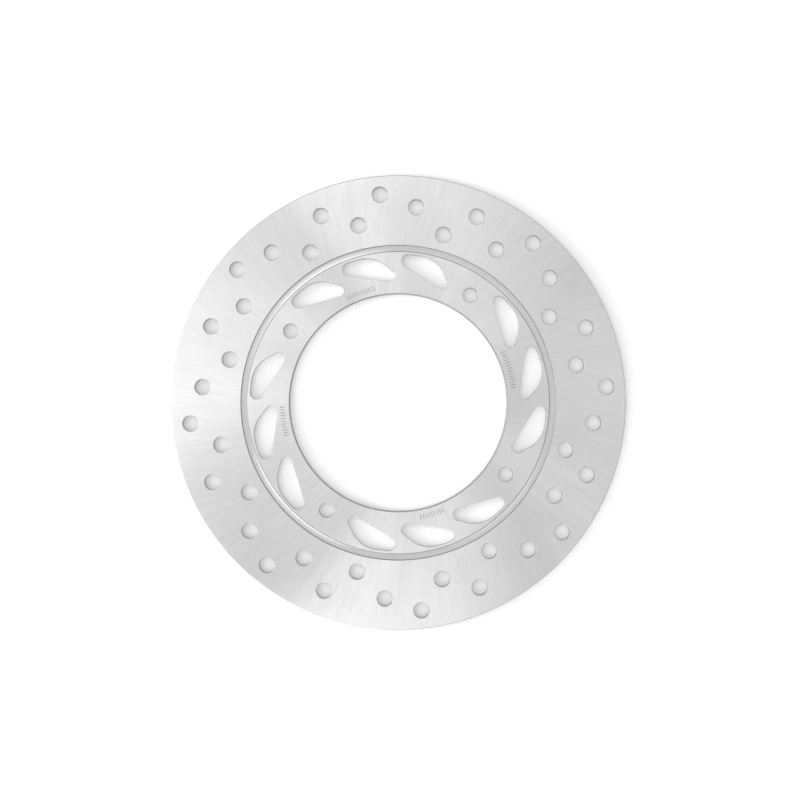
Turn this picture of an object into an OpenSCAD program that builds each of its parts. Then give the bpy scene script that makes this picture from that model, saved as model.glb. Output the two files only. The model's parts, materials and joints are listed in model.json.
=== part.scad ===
// Brake disc rotor: one flat steel plate with a drilled braking band, a shallow groove
// on each face, and a mounting flange with petal slots and four bolt holes.
// The origin is the centre of the hub bore, on the back face, which sits on the hub.
// +Z points out of the front face. Sizes are in millimetres, angles in degrees from +X.

/* [Plate] */
// Outer diameter of the braking band
disc_d = 220; // [215:1:240]
// Thickness of the plate
plate_t = 4; // [3:0.5:6]
// Chamfer on both edges of the rim
rim_chamfer = 0.4; // [0.1:0.1:1]

/* [Hub bore] */
// Diameter of the centre bore
bore_d = 105; // [98:1:107]
// Chamfer on both edges of the bore
bore_chamfer = 0.5; // [0.1:0.1:1]

/* [Bolt circle] */
// Diameter of the circle through the bolt holes
bolt_circle_d = 125; // [122:0.5:130]
// Diameter of each bolt hole, a clearance fit on an M6 screw
bolt_hole_d = 7; // [6:0.1:8]
// Chamfer on both ends of a bolt hole
bolt_chamfer = 0.3; // [0.1:0.1:0.6]
// Angle of the first bolt hole
bolt_angle = 56.3; // [54:0.1:59]

/* [Groove] */
// Inner diameter of the groove between flange and band
groove_inner_d = 146; // [145:0.2:150]
// Outer diameter of the groove
groove_outer_d = 152.4; // [151:0.2:158]
// Depth of the groove in each face
groove_depth = 0.5; // [0.2:0.1:1]

/* [Drilled holes] */
// Diameter of each hole in the braking band
hole_d = 7.6; // [5:0.1:8.6]
// Chamfer on both ends of a drilled hole
hole_chamfer = 0.25; // [0.1:0.05:0.5]
// Angle of the first hole of the first group
hole_angle = -15.7; // [-20:0.1:20]
// Step from one group of holes to the next, so that the last gap is the narrow one
hole_group_step = 45.33; // [44.6:0.01:45.7]

/* [Petal slots] */
// Radius that the outer side of every slot touches
slot_reach = 71.9; // [71:0.1:72.2]
// Radius at the inner end of a slot
slot_inner_end_r = 2.9; // [2:0.1:3.2]
// Radius at the outer end of a slot
slot_outer_end_r = 3.2; // [2.2:0.1:3.4]
// Radius of the shoulder between the two ends
slot_shoulder_r = 15; // [14:0.5:18]
// Angle of the middle slot of the first group
slot_angle = 12.5; // [11:0.1:13.5]
// Step between the slots of one group
slot_step = 24.4; // [24:0.1:25]

/* [Engraved ticks] */
// Radius at the inner end of the ticks
tick_inner_r = 55; // [54:0.1:55.5]
// Length of a tick along the radius
tick_len = 2.4; // [1:0.1:2.6]
// Width of a tick
tick_w = 0.45; // [0.3:0.05:0.8]
// Depth of a tick in the front face
tick_depth = 0.15; // [0.05:0.05:0.4]
// Angle between ticks of one row
tick_step = 1.4; // [1.2:0.1:1.8]

/* [Hidden] */
$fn = 96;

// how far a cutter stands out of the plate
over = 1;

quarter = 90;
quarters = [0:3];
bolt_hole_count = 4;
hole_group_count = 8;

// the five holes of a group: angle from its first hole, and radius from the disc's centre
group_holes = [[0, 84.1], [9.8, 94.9], [20.1, 101], [27.7, 87.9], [37.5, 97.7]];

// polar places of a slot's rounded ends and shoulder, from the slot's own angle
inner_end_angle = -8.5;
inner_end_polar_r = 61.5;
shoulder_angle = 3.2;
outer_end_angle = 7.9;
shoulder_polar_r = slot_reach - slot_shoulder_r;
outer_end_polar_r = slot_reach - slot_outer_end_r;

// rows of ticks: the angle where a row starts, and how many ticks it has
tick_rows = [[7.5, 14], [101.8, 11], [182.2, 11], [281.2, 9]];

function polar(r, angle) = [r * cos(angle), r * sin(angle)];

function arc(centre, r, from, to, steps) =
    [for (i = [0:steps]) centre + polar(r, from + (to - from) * i / steps)];

// the outward angle of the straight side that runs from one circle to the next, anticlockwise
function side_angle(c1, r1, c2, r2) =
    let (way = c2 - c1) atan2(way[1], way[0]) - acos((r1 - r2) / norm(way));

// a chain of tangent arcs: inner end, shoulder, a stretch around the disc's centre, outer end
function slot_outline() =
    let (
        inner_end = polar(inner_end_polar_r, inner_end_angle),
        outer_end = polar(outer_end_polar_r, outer_end_angle),
        shoulder = polar(shoulder_polar_r, shoulder_angle),
        to_shoulder = side_angle(inner_end, slot_inner_end_r, shoulder, slot_shoulder_r),
        to_inner_end = side_angle(outer_end, slot_outer_end_r, inner_end, slot_inner_end_r) + 360
    )
    concat(
        arc(inner_end, slot_inner_end_r, to_inner_end - 360, to_shoulder, 14),
        arc(shoulder, slot_shoulder_r, to_shoulder, shoulder_angle, 10),
        arc([0, 0], slot_reach, shoulder_angle, outer_end_angle, 4),
        arc(outer_end, slot_outer_end_r, outer_end_angle, to_inner_end, 14)
    );

// the plate's cross-section on one side of the axis
module plate_section() {
    bore_r = bore_d / 2;
    disc_r = disc_d / 2;
    groove_w = (groove_outer_d - groove_inner_d) / 2;
    difference() {
        polygon([
            [bore_r + bore_chamfer, 0],
            [disc_r - rim_chamfer, 0],
            [disc_r, rim_chamfer],
            [disc_r, plate_t - rim_chamfer],
            [disc_r - rim_chamfer, plate_t],
            [bore_r + bore_chamfer, plate_t],
            [bore_r, plate_t - bore_chamfer],
            [bore_r, bore_chamfer]
        ]);
        for (z = [-over, plate_t - groove_depth])
            translate([groove_inner_d / 2, z]) square([groove_w, groove_depth + over]);
    }
}

// the space of a round hole through the plate, wider at both faces by its chamfer
module hole_cutter(d, chamfer) {
    r = d / 2;
    mouth_r = r + chamfer + over;
    rotate_extrude()
        polygon([
            [0, -over],
            [mouth_r, -over],
            [r, chamfer],
            [r, plate_t - chamfer],
            [mouth_r, plate_t + over],
            [0, plate_t + over]
        ]);
}

module drilled_holes() {
    for (group = [0:hole_group_count - 1], hole = group_holes)
        rotate(hole_angle + group * hole_group_step + hole[0])
            translate([hole[1], 0, 0])
                hole_cutter(hole_d, hole_chamfer);
}

module bolt_holes() {
    for (i = [0:bolt_hole_count - 1])
        rotate(bolt_angle + i * 360 / bolt_hole_count)
            translate([bolt_circle_d / 2, 0, 0])
                hole_cutter(bolt_hole_d, bolt_chamfer);
}

module petal_slots() {
    for (i = quarters, side = [-1:1])
        rotate(slot_angle + i * quarter + side * slot_step)
            translate([0, 0, -over])
                linear_extrude(plate_t + 2 * over)
                    polygon(slot_outline());
}

module engraved_ticks() {
    for (row = tick_rows, i = [0:row[1] - 1])
        rotate(row[0] + i * tick_step)
            translate([tick_inner_r, -tick_w / 2, plate_t - tick_depth])
                cube([tick_len, tick_w, tick_depth + over]);
}

module rotor_disc() {
    color("silver")
        difference() {
            rotate_extrude() plate_section();
            drilled_holes();
            bolt_holes();
            petal_slots();
            engraved_ticks();
        }
}

rotor_disc();
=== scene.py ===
"""Looks for a one-piece brake disc rotor that lies on a pale floor and is seen from straight above."""
import json
import math

import bpy
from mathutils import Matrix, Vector
from mathutils.geometry import delaunay_2d_cdt


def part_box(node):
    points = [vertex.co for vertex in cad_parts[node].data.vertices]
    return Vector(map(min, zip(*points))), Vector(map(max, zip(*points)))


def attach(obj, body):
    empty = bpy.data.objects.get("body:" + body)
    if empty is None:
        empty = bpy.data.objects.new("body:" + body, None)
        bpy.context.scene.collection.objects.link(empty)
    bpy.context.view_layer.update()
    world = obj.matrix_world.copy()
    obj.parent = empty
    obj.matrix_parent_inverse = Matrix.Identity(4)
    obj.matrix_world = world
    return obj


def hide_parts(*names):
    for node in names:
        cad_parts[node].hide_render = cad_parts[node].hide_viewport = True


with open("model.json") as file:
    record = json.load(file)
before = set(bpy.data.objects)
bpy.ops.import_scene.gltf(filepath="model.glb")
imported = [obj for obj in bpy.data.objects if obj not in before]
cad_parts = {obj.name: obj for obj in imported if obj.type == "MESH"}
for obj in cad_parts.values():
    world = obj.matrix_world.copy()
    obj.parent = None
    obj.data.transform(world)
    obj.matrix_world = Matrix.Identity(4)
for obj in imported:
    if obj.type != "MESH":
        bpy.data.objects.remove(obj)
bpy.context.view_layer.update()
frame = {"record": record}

MM = 0.001
NODE = "rotor_disc"
AXIS = Vector((0, 0))  # the disc's axis, seen from above

# driving sizes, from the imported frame
low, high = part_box(NODE)
mounts = {mount["name"]: mount for mount in frame["record"]["mounts"]}
BACK_Z, FRONT_Z = low.z, high.z
RIM_R = min(high.x, high.y, -low.x, -low.y)
BORE_R = mounts["hub_bore"]["dims"]["r_mm"] * MM
BOLT_CIRCLE_R = mounts["bolt_circle"]["dims"]["pcd_mm"] / 2 * MM
BOLT_COUNT = mounts["bolt_circle"]["dims"]["count"]
BOLT_R = mounts["bolt_circle"]["dims"]["hole_r_mm"] * MM

# the design's other sizes, in metres and degrees
RIM_EDGE = 0.4 * MM
BORE_EDGE = 0.5 * MM
BOLT_EDGE = 0.3 * MM
BOLT_ANGLE = 56.3
GROOVE_INNER_R = 73 * MM
GROOVE_OUTER_R = 76.2 * MM
GROOVE_DEPTH = 0.5 * MM
GROOVE_EDGE = 0.1 * MM
GROOVE_FOOT = 0.3 * MM
HOLE_R = 3.8 * MM
HOLE_EDGE = 0.25 * MM
HOLE_ANGLE = -15.7
HOLE_GROUPS = 8
HOLE_GROUP_STEP = 45.33
GROUP_HOLES = (  # angle from the group's first hole, and radius from the axis
    (0, 84.1 * MM),
    (9.8, 94.9 * MM),
    (20.1, 101 * MM),
    (27.7, 87.9 * MM),
    (37.5, 97.7 * MM),
)
QUARTERS = 4
SLOT_EDGE = 0.12 * MM
SLOT_ANGLE = 12.5
SLOT_STEP = 24.4
SLOT_REACH = 71.9 * MM
INNER_END_R = 2.9 * MM
INNER_END_POLAR_R = 61.5 * MM
INNER_END_ANGLE = -8.5
OUTER_END_R = 3.2 * MM
OUTER_END_ANGLE = 7.9
SHOULDER_R = 15 * MM
SHOULDER_ANGLE = 3.2
TICK_INNER_R = 55 * MM
TICK_LEN = 2.4 * MM
TICK_W = 0.45 * MM
TICK_DEPTH = 0.15 * MM
TICK_STEP = 1.4
TICK_ROWS = ((7.5, 14), (101.8, 11), (182.2, 11), (281.2, 9))  # first angle, number of ticks

# how finely outlines are drawn
RIM_POINTS = 480
GROOVE_POINTS = 384
BORE_POINTS = 336
HOLE_POINTS = 56
INNER_END_STEPS = 18
SHOULDER_STEPS = 14
REACH_STEPS = 6
OUTER_END_STEPS = 20
EDGE_STEPS = 4
SHARP_ANGLE = 35

# the extra points on the flat faces: their spacing, and how far they keep from an opening
GRID = 2.6 * MM
GRID_GAP = GRID / 3
SNAP = 1e-9

# the studio
FLOOR_SIZE = 6.0
FLOOR_GAP = 0.2 * MM
FLOOR_SHADE = 0.93
FLOOR_GLOW = 0.19
WORLD_LIGHT = 0.8
HORIZON_LIGHT = 0.42
SOFTBOX_SIZE = 0.5
SOFTBOX_FAR = 1.5
SOFTBOXES = (  # name, azimuth, tilt off vertical, watts
    ("back_right_high", 60, 28, 0.25),
    ("back_left_high", 120, 28, 0.7),
    ("back_left_top", 135, 18, 0.25),
    ("back_left", 150, 40, 0.9),
    ("left_low", 180, 68, 9.6),
    ("left", 210, 40, 1.1),
    ("front_left_high", 225, 28, 0.95),
    ("front_low", 255, 68, 4.5),
    ("front_right_high", 315, 28, 0.4),
)
LENS_MM = 50
SENSOR_MM = 36
CAMERA_X = 0.8 * MM
CAMERA_Y = 1.3 * MM
CAMERA_HEIGHT = 0.537
CAMERA_NEAR = 0.01

# the finishes
ANISOTROPY = 0.96
QUARTER_TURN = 0.25
SCRATCHES = (  # lean in radians a metre, lines to the radian, length, share of the height
    (0.4, 150, 22 * MM, 0.3),
    (4.2, 130, 26 * MM, 0.24),
    (-4.4, 110, 20 * MM, 0.16),
    (1.5, 45, 45 * MM, 0.3),
)
SCRATCH_DEPTH = 0.075 * MM

# the piece's material slots; the last is dull steel greyed dark as painted shade, for the groove's
# walls and the bore's edges
GROUND, TURNED, CUT, EDGE, DULL_PAINTED_SHADE = range(5)

# a Mix node's sockets for colours, found by number because its inputs share their names
MIX_SHARE, MIX_FIRST, MIX_SECOND, MIX_RESULT = 0, 6, 7, 2


# ---------------------------------------------------------------- outlines

def polar(radius, angle):
    turn = math.radians(angle)
    return Vector((radius * math.cos(turn), radius * math.sin(turn)))


def arc(centre, radius, start, end, steps):
    return [centre + polar(radius, start + (end - start) * i / steps) for i in range(steps + 1)]


def circle(centre, radius, points):
    return arc(centre, radius, 0, 360, points)[:-1]


def turned(points, angle):
    """The outline turned about the disc's axis."""
    turn = math.radians(angle)
    c, s = math.cos(turn), math.sin(turn)
    return [Vector((c * p.x - s * p.y, s * p.x + c * p.y)) for p in points]


def side_angle(c1, r1, c2, r2):
    """The outward angle of the straight side from one circle to the next, anticlockwise."""
    way = c2 - c1
    return math.degrees(math.atan2(way.y, way.x) - math.acos((r1 - r2) / way.length))


def slot_outline(grow):
    """A petal slot at angle 0: a chain of tangent arcs, moved outwards by grow."""
    inner = polar(INNER_END_POLAR_R, INNER_END_ANGLE)
    shoulder = polar(SLOT_REACH - SHOULDER_R, SHOULDER_ANGLE)
    outer = polar(SLOT_REACH - OUTER_END_R, OUTER_END_ANGLE)
    to_shoulder = side_angle(inner, INNER_END_R, shoulder, SHOULDER_R)
    to_inner = side_angle(outer, OUTER_END_R, inner, INNER_END_R) + 360
    return (arc(inner, INNER_END_R + grow, to_inner - 360, to_shoulder, INNER_END_STEPS)
            + arc(shoulder, SHOULDER_R + grow, to_shoulder, SHOULDER_ANGLE, SHOULDER_STEPS)[1:]
            + arc(AXIS, SLOT_REACH + grow, SHOULDER_ANGLE, OUTER_END_ANGLE, REACH_STEPS)[1:]
            + arc(outer, OUTER_END_R + grow, OUTER_END_ANGLE, to_inner, OUTER_END_STEPS)[1:])


def tick_outline():
    """One engraved tick at angle 0."""
    half = TICK_W / 2
    far = TICK_INNER_R + TICK_LEN
    return [Vector(p) for p in ((TICK_INNER_R, -half), (far, -half), (far, half), (TICK_INNER_R, half))]


class Opening:
    """A convex hole or mark: its outline for a given growth, and the rounding of its edges."""

    def __init__(self, outline, edge):
        self.outline = outline
        self.edge = edge
        mouth = outline(edge)
        self.centre = sum(mouth, AXIS) / len(mouth)
        self.reach = max((p - self.centre).length for p in mouth)


def round_hole(polar_r, angle, radius, edge):
    centre = polar(polar_r, angle)
    return Opening(lambda grow: circle(centre, radius + grow, HOLE_POINTS), edge)


def petal_slot(angle):
    return Opening(lambda grow: turned(slot_outline(grow), angle), SLOT_EDGE)


def engraved_tick(angle):
    return Opening(lambda grow: turned(tick_outline(), angle), 0)


def drilled_holes():
    return [round_hole(polar_r, HOLE_ANGLE + group * HOLE_GROUP_STEP + angle, HOLE_R, HOLE_EDGE)
            for group in range(HOLE_GROUPS) for angle, polar_r in GROUP_HOLES]


def bolt_holes():
    return [round_hole(BOLT_CIRCLE_R, BOLT_ANGLE + i * 360 / BOLT_COUNT, BOLT_R, BOLT_EDGE)
            for i in range(BOLT_COUNT)]


def petal_slots():
    return [petal_slot(SLOT_ANGLE + i * 360 / QUARTERS + side * SLOT_STEP)
            for i in range(QUARTERS) for side in (-1, 0, 1)]


def engraved_ticks():
    return [engraved_tick(start + i * TICK_STEP) for start, count in TICK_ROWS for i in range(count)]


# ---------------------------------------------------------------- the mesh

def rounded(edge):
    """Steps of a quarter-round edge, as pairs of growth and depth, from the face to the wall."""
    turns = [math.radians(90 * i / EDGE_STEPS) for i in range(EDGE_STEPS + 1)]
    return [(edge * (1 - math.sin(t)), edge * (1 - math.cos(t))) for t in turns]


def through(edge):
    """Growth and height of an opening's wall, from the front face down to the back face."""
    front = [(grow, FRONT_Z - depth) for grow, depth in rounded(edge)]
    back = [(grow, BACK_Z + depth) for grow, depth in reversed(rounded(edge))]
    return front + back


class Shell:
    """Collects the points and faces of one closed mesh, with a material number for each face."""

    def __init__(self):
        self.points = []
        self.faces = []
        self.materials = []
        self.smooth = []

    def ring(self, outline, z):
        first = len(self.points)
        self.points += [(p.x, p.y, z) for p in outline]
        return list(range(first, len(self.points)))

    def face(self, corners, material, smooth):
        self.faces.append(corners)
        self.materials.append(material)
        self.smooth.append(smooth)

    def band(self, first, second, material):
        """Quads between two rings. Rings are anticlockwise, and a section is walked the same way:
        inwards along the front, down the bore, outwards along the back and up the rim."""
        for i in range(len(first)):
            j = (i + 1) % len(first)
            self.face((first[i], first[j], second[j], second[i]), material, True)

    def chain(self, outlines, material, edges=None):
        """A wall through a list of (outline, z), with rounded edges of their own material if one
        is given. Returns its first and its last ring."""
        rings = [self.ring(outline, z) for outline, z in outlines]
        last = len(rings) - 1
        for number, (first, second) in enumerate(zip(rings, rings[1:])):
            at_edge = edges is not None and not EDGE_STEPS <= number < last - EDGE_STEPS
            self.band(first, second, edges if at_edge else material)
        return rings[0], rings[-1]

    def flat(self, outer, holes, z, grid, up):
        """A flat face inside outer and outside every hole. Each hole is convex and has no point
        inside it, so a triangle with all its corners on one hole is inside that hole."""
        rings = [outer] + holes
        known = [index for ring in rings for index in ring] + self.ring(grid, z)
        owner = [number for number, ring in enumerate(rings) for _ in ring] + [None] * len(grid)
        edges, start = [], 0
        for ring in rings:
            edges += [(start + i, start + (i + 1) % len(ring)) for i in range(len(ring))]
            start += len(ring)
        places = [Vector(self.points[index][:2]) for index in known]
        _, _, triangles, origin, _, _ = delaunay_2d_cdt(places, edges, [], 0, SNAP)
        for triangle in triangles:
            a, b, c = (origin[corner][0] for corner in triangle)
            if owner[a] and owner[a] == owner[b] == owner[c]:
                continue
            rising = (places[b] - places[a]).cross(places[c] - places[a]) > 0
            corners = (known[a], known[b], known[c])
            self.face(corners if rising == up else corners[::-1], GROUND, False)

    def mesh(self, name):
        data = bpy.data.meshes.new(name)
        data.from_pydata(self.points, [], self.faces)
        data.polygons.foreach_set("material_index", self.materials)
        data.set_sharp_from_angle(angle=math.radians(SHARP_ANGLE))
        data.polygons.foreach_set("use_smooth", self.smooth)
        return data


def clear_grid(inner_r, outer_r, openings):
    """Evenly spread points between two radii, clear of every opening, so that triangles stay even."""
    rows = round((outer_r - inner_r) / GRID)
    points = []
    for row in range(1, rows):
        radius = inner_r + (outer_r - inner_r) * row / rows
        points += circle(AXIS, radius, round(2 * math.pi * radius / GRID))
    return [p for p in points if all((p - o.centre).length > o.reach + GRID_GAP for o in openings)]


def walls(shell, openings):
    """The wall of every opening. Returns each one's rings at the front and at the back face."""
    return [shell.chain([(opening.outline(grow), z) for grow, z in through(opening.edge)], CUT, EDGE)
            for opening in openings]


def bore(shell):
    """The hub bore's wall. Returns its rings at the front and at the back face."""
    # the rounded edges take the dull steel greyed dark as painted shade
    return shell.chain([(circle(AXIS, BORE_R + grow, BORE_POINTS), z)
                        for grow, z in through(BORE_EDGE)], CUT, DULL_PAINTED_SHADE)


def rim(shell):
    """The disc's outer wall. Returns its rings at the back and at the front face."""
    return shell.chain([(circle(AXIS, RIM_R - grow, RIM_POINTS), z)
                        for grow, z in reversed(through(RIM_EDGE))], CUT, EDGE)


def marks(shell, openings):
    """The walls and floors of the engraved marks. Returns each one's ring at the front face."""
    mouths = []
    for opening in openings:
        outline = opening.outline(0)
        mouth, bottom = shell.chain([(outline, FRONT_Z), (outline, FRONT_Z - TICK_DEPTH)], CUT)
        shell.face(tuple(bottom), CUT, False)
        mouths.append(mouth)
    return mouths


def groove(shell, z, up):
    """The groove in the face at height z. Returns its rings at the band and at the flange."""
    side = 1 if up else -1
    edge = rounded(GROOVE_EDGE)
    foot = [(-depth, GROOVE_DEPTH - grow) for grow, depth in rounded(GROOVE_FOOT)]

    def wall(radius, outward):
        """One wall, which grows outwards (1) or inwards (-1). Returns its rings at the face and
        at the foot."""
        rings = [(circle(AXIS, radius + outward * grow, GROOVE_POINTS), z - side * depth)
                 for grow, depth in edge + foot]
        # both walls take the dull steel greyed dark as painted shade in the groove
        if outward == side:
            return shell.chain(rings, DULL_PAINTED_SHADE)
        return shell.chain(rings[::-1], DULL_PAINTED_SHADE)[::-1]

    at_band, outer_foot = wall(GROOVE_OUTER_R, 1)
    at_flange, inner_foot = wall(GROOVE_INNER_R, -1)
    if up:
        shell.band(outer_foot, inner_foot, TURNED)
    else:
        shell.band(inner_foot, outer_foot, TURNED)
    return at_band, at_flange


def rotor_mesh():
    shell = Shell()
    band_openings = drilled_holes()
    flange_openings = bolt_holes() + petal_slots()
    tick_openings = engraved_ticks()
    band_grid = clear_grid(GROOVE_OUTER_R, RIM_R, band_openings)
    flange_grid = clear_grid(BORE_R, GROOVE_INNER_R, flange_openings + tick_openings)

    band_rings = walls(shell, band_openings)
    flange_rings = walls(shell, flange_openings)
    bore_front, bore_back = bore(shell)
    rim_back, rim_front = rim(shell)
    tick_rings = marks(shell, tick_openings)

    for up, z, outer, inner, ticks in ((True, FRONT_Z, rim_front, bore_front, tick_rings),
                                       (False, BACK_Z, rim_back, bore_back, [])):
        face = 0 if up else 1
        at_band, at_flange = groove(shell, z, up)
        in_band = [at_band] + [rings[face] for rings in band_rings]
        in_flange = [inner] + [rings[face] for rings in flange_rings] + ticks
        shell.flat(outer, in_band, z, band_grid, up)
        shell.flat(at_flange, in_flange, z, flange_grid, up)
    return shell.mesh("rotor_disc_ground")


# ---------------------------------------------------------------- materials

def grey(shade):
    return (shade, shade, shade, 1)


class Tree:
    """A short way to write a material's nodes."""

    def __init__(self, name):
        self.material = bpy.data.materials.new(name)
        self.material.use_nodes = True
        self.nodes = self.material.node_tree.nodes
        self.links = self.material.node_tree.links
        self.shader = self.nodes["Principled BSDF"]

    def put(self, value, socket):
        """Links the input to another socket, or sets its number or colour."""
        if isinstance(value, bpy.types.NodeSocket):
            self.links.new(value, socket)
        else:
            socket.default_value = value

    def feed(self, values):
        """Puts values on the shader's own inputs."""
        for name, value in values.items():
            self.put(value, self.shader.inputs[name])

    def node(self, kind, values=(), **settings):
        made = self.nodes.new(kind)
        for key, value in settings.items():
            setattr(made, key, value)
        for key, value in dict(values).items():
            self.put(value, made.inputs[key])
        return made

    def math(self, operation, *values):
        return self.node("ShaderNodeMath", enumerate(values), operation=operation).outputs[0]

    def vector(self, x, y, z):
        return self.node("ShaderNodeCombineXYZ", {"X": x, "Y": y, "Z": z}).outputs[0]

    def noise(self, vector, scale, detail, roughness=0.5):
        values = {"Vector": vector, "Scale": scale, "Detail": detail, "Roughness": roughness}
        return self.node("ShaderNodeTexNoise", values).outputs[0]

    def span(self, value, low_in, high_in, low_out, high_out):
        """The value, moved from one range to another and kept inside it."""
        names = {"Value": value, "From Min": low_in, "From Max": high_in,
                 "To Min": low_out, "To Max": high_out}
        return self.node("ShaderNodeMapRange", names).outputs[0]

    def mix(self, first, second, share):
        """That share of the first value, and the rest from the second."""
        return self.math("MULTIPLY_ADD", first, share, self.math("MULTIPLY", second, 1 - share))

    def place(self):
        """Object coordinates, as one vector."""
        return self.node("ShaderNodeTexCoord").outputs["Object"]

    def axes(self, place):
        """The x, y and z of a vector."""
        return self.node("ShaderNodeSeparateXYZ", {"Vector": place}).outputs

    def radius(self, x, y):
        """The distance from the disc's axis."""
        squares = self.math("ADD", self.math("MULTIPLY", x, x), self.math("MULTIPLY", y, y))
        return self.math("SQRT", squares)

    def layers(self, value, pitch):
        """Noise that changes along one value only, with marks of about that pitch."""
        return self.noise(self.vector(0.0, 0.0, self.math("DIVIDE", value, pitch)),
                          scale=1.0, detail=3.0)

    def streaks(self, radius, angle, lean, around, length):
        """Fine lines that run outwards and lean by so many radians a metre: around is how many
        lie along one radian, and length is that of one streak in metres."""
        turn = self.math("ADD", angle, self.math("MULTIPLY", radius, lean))
        vector = self.vector(self.math("COSINE", turn), self.math("SINE", turn),
                             self.math("MULTIPLY", radius, 1 / (around * length)))
        return self.noise(vector, scale=around, detail=1.0)

    def colour(self, value, low, high, dark, light):
        """Base colour from a dark to a light grey, as the value goes from low to high."""
        names = {MIX_SHARE: self.span(value, low, high, 0.0, 1.0),
                 MIX_FIRST: grey(dark), MIX_SECOND: grey(light)}
        blend = self.node("ShaderNodeMix", names, data_type="RGBA")
        self.feed({"Base Color": blend.outputs[MIX_RESULT]})

    def roughness(self, value, low, high, fine, coarse):
        """Roughness from fine to coarse, as the value goes from low to high."""
        self.feed({"Roughness": self.span(value, low, high, fine, coarse)})

    def bump(self, height, strength, distance):
        values = {"Height": height, "Strength": strength, "Distance": distance}
        self.feed({"Normal": self.node("ShaderNodeBump", values).outputs[0]})


def steel(name, shade, roughness):
    """A metal shader with one grey and one roughness, for a finish to vary."""
    tree = Tree(name)
    tree.feed({"Metallic": 1.0, "Base Color": grey(shade), "Roughness": roughness})
    return tree


def stretch(tree, rotation):
    """Stretches the highlight about the disc's axis, turned by that part of a full turn."""
    tangent = tree.node("ShaderNodeTangent", direction_type="RADIAL", axis="Z").outputs[0]
    tree.feed({"Anisotropic": ANISOTROPY, "Anisotropic Rotation": rotation, "Tangent": tangent})


def ground_steel():
    """Faces ground with crossing, outward-running scratches, clouded a little by handling."""
    tree = steel("ground_steel", shade=0.74, roughness=0.3)
    stretch(tree, 0.0)
    place = tree.place()
    x, y, _ = tree.axes(place)
    radius = tree.radius(x, y)
    angle = tree.math("ARCTAN2", y, x)
    height = 0.0
    for lean, around, length, share in SCRATCHES:
        lines = tree.streaks(radius, angle, lean, around, length)
        height = tree.math("ADD", height, tree.math("MULTIPLY", lines, share))
    clouds = tree.noise(place, scale=45.0, detail=4.0, roughness=0.6)
    wear = tree.mix(clouds, height, share=0.3)
    tree.colour(wear, low=0.36, high=0.64, dark=0.69, light=0.79)
    tree.roughness(wear, low=0.35, high=0.65, fine=0.28, coarse=0.34)
    tree.bump(height, strength=1.0, distance=SCRATCH_DEPTH)
    return tree.material


def turned_steel():
    """The groove's floor, with concentric turning marks."""
    tree = steel("turned_steel", shade=0.7, roughness=0.2)
    stretch(tree, QUARTER_TURN)
    x, y, _ = tree.axes(tree.place())
    rings = tree.layers(tree.radius(x, y), pitch=0.45 * MM)
    tree.colour(rings, low=0.3, high=0.7, dark=0.62, light=0.78)
    tree.roughness(rings, low=0.3, high=0.7, fine=0.14, coarse=0.2)
    tree.bump(rings, strength=0.2, distance=0.02 * MM)
    return tree.material


def cut_steel():
    """Walls of the openings, the rim and the ticks, with marks that run around them."""
    tree = steel("cut_steel", shade=0.5, roughness=0.3)
    place = tree.place()
    _, _, z = tree.axes(place)
    lines = tree.layers(z, pitch=0.22 * MM)
    grain = tree.noise(place, scale=900.0, detail=2.0)
    wear = tree.mix(lines, grain, share=0.6)
    tree.colour(wear, low=0.3, high=0.7, dark=0.42, light=0.56)
    tree.roughness(wear, low=0.3, high=0.7, fine=0.24, coarse=0.36)
    tree.bump(wear, strength=0.3, distance=0.03 * MM)
    return tree.material


def edge_steel():
    """Rounded edges, rubbed brighter than the walls that they lead to."""
    tree = steel("edge_steel", shade=0.58, roughness=0.48)
    wear = tree.noise(tree.place(), scale=600.0, detail=3.0)
    tree.colour(wear, low=0.0, high=1.0, dark=0.5, light=0.66)
    tree.roughness(wear, low=0.3, high=0.7, fine=0.42, coarse=0.55)
    tree.bump(wear, strength=0.2, distance=0.02 * MM)
    return tree.material


def dull_painted_shade_steel():
    """The groove's walls and the bore's edges: steel left rough by the flank of the turning tool, with
    its grey painted dark as painted shade along them.
    """
    tree = steel("dull_painted_shade_steel", shade=0.34, roughness=0.5)
    grain = tree.noise(tree.place(), scale=1500.0, detail=3.0)
    # painted shade: greys far darker than the ground faces, which draw dark lines along the groove and
    # the bore
    tree.colour(grain, low=0.0, high=1.0, dark=0.28, light=0.4)
    tree.bump(grain, strength=0.3, distance=0.02 * MM)
    return tree.material


# ---------------------------------------------------------------- the scene

def add_object(name, data):
    made = bpy.data.objects.new(name, data)
    bpy.context.scene.collection.objects.link(made)
    return made


def rotor():
    piece = add_object("rotor_disc_ground", rotor_mesh())
    for material in (ground_steel(), turned_steel(), cut_steel(), edge_steel(), dull_painted_shade_steel()):
        piece.data.materials.append(material)
    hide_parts(NODE)
    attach(piece, "root")


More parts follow.
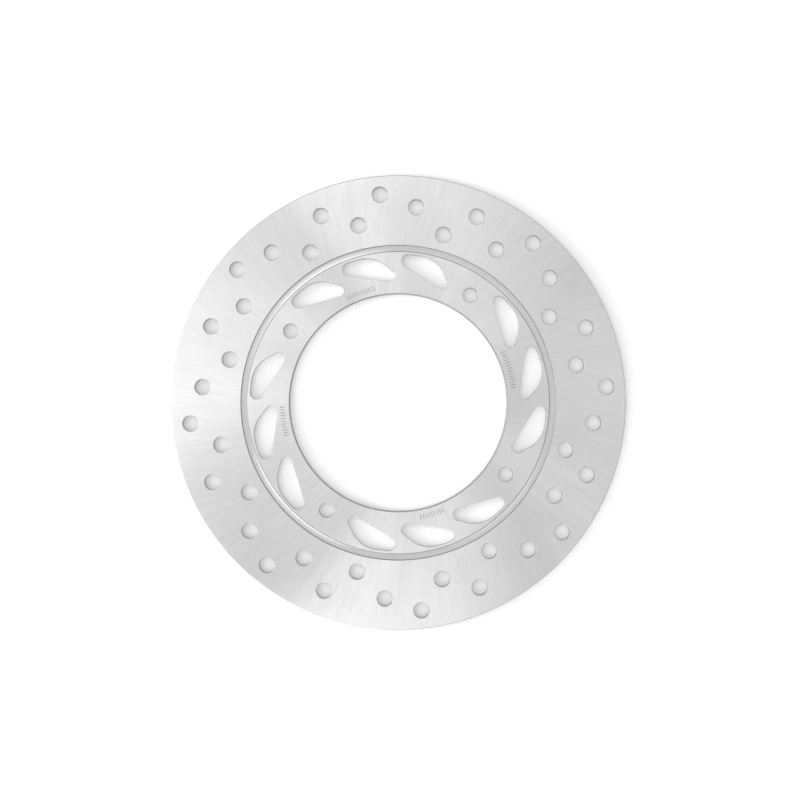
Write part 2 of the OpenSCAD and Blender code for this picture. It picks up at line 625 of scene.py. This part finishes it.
def floor():
    half = FLOOR_SIZE / 2
    corners = [(-half, -half, 0), (half, -half, 0), (half, half, 0), (-half, half, 0)]
    data = bpy.data.meshes.new("studio_floor")
    data.from_pydata(corners, [], [(0, 1, 2, 3)])
    tree = Tree("studio_floor")
    tree.feed({"Base Color": grey(FLOOR_SHADE), "Roughness": 0.9, "Specular IOR Level": 0.1,
               "Emission Color": grey(1), "Emission Strength": FLOOR_GLOW})
    data.materials.append(tree.material)
    made = add_object("studio_floor", data)
    made.location.z = BACK_Z - FLOOR_GAP


def softbox(name, azimuth, tilt, watts):
    """A square area light that aims at the disc's centre from that azimuth and tilt off vertical."""
    data = bpy.data.lights.new(name, "AREA")
    data.shape = "SQUARE"
    data.size = SOFTBOX_SIZE
    data.energy = watts
    made = add_object(name, data)
    side = polar(SOFTBOX_FAR * math.sin(math.radians(tilt)), azimuth)
    made.location = (side.x, side.y, SOFTBOX_FAR * math.cos(math.radians(tilt)))
    made.rotation_euler = (-made.location).to_track_quat("-Z", "Y").to_euler()
    made.visible_camera = False


def sky():
    """An even white light from all around, which fades from overhead to the horizon."""
    world = bpy.data.worlds.new("studio")
    bpy.context.scene.world = world
    world.use_nodes = True
    tree = world.node_tree
    background = tree.nodes["Background"]
    background.inputs["Color"].default_value = grey(1)
    direction = tree.nodes.new("ShaderNodeSeparateXYZ")
    tree.links.new(tree.nodes.new("ShaderNodeTexCoord").outputs["Generated"], direction.inputs[0])
    fade = tree.nodes.new("ShaderNodeMapRange")
    fade.inputs["To Min"].default_value = HORIZON_LIGHT
    fade.inputs["To Max"].default_value = WORLD_LIGHT
    tree.links.new(direction.outputs["Z"], fade.inputs["Value"])
    tree.links.new(fade.outputs[0], background.inputs["Strength"])


def softboxes():
    for name, azimuth, tilt, watts in SOFTBOXES:
        softbox("softbox_" + name, azimuth, tilt, watts)


def camera():
    data = bpy.data.cameras.new("camera")
    data.lens = LENS_MM
    data.sensor_width = SENSOR_MM
    data.clip_start = CAMERA_NEAR
    made = add_object("camera", data)
    made.location = (CAMERA_X, CAMERA_Y, FRONT_Z + CAMERA_HEIGHT)
    bpy.context.scene.camera = made
    bpy.context.scene.view_settings.view_transform = "Standard"


rotor()
floor()
sky()
softboxes()
camera()
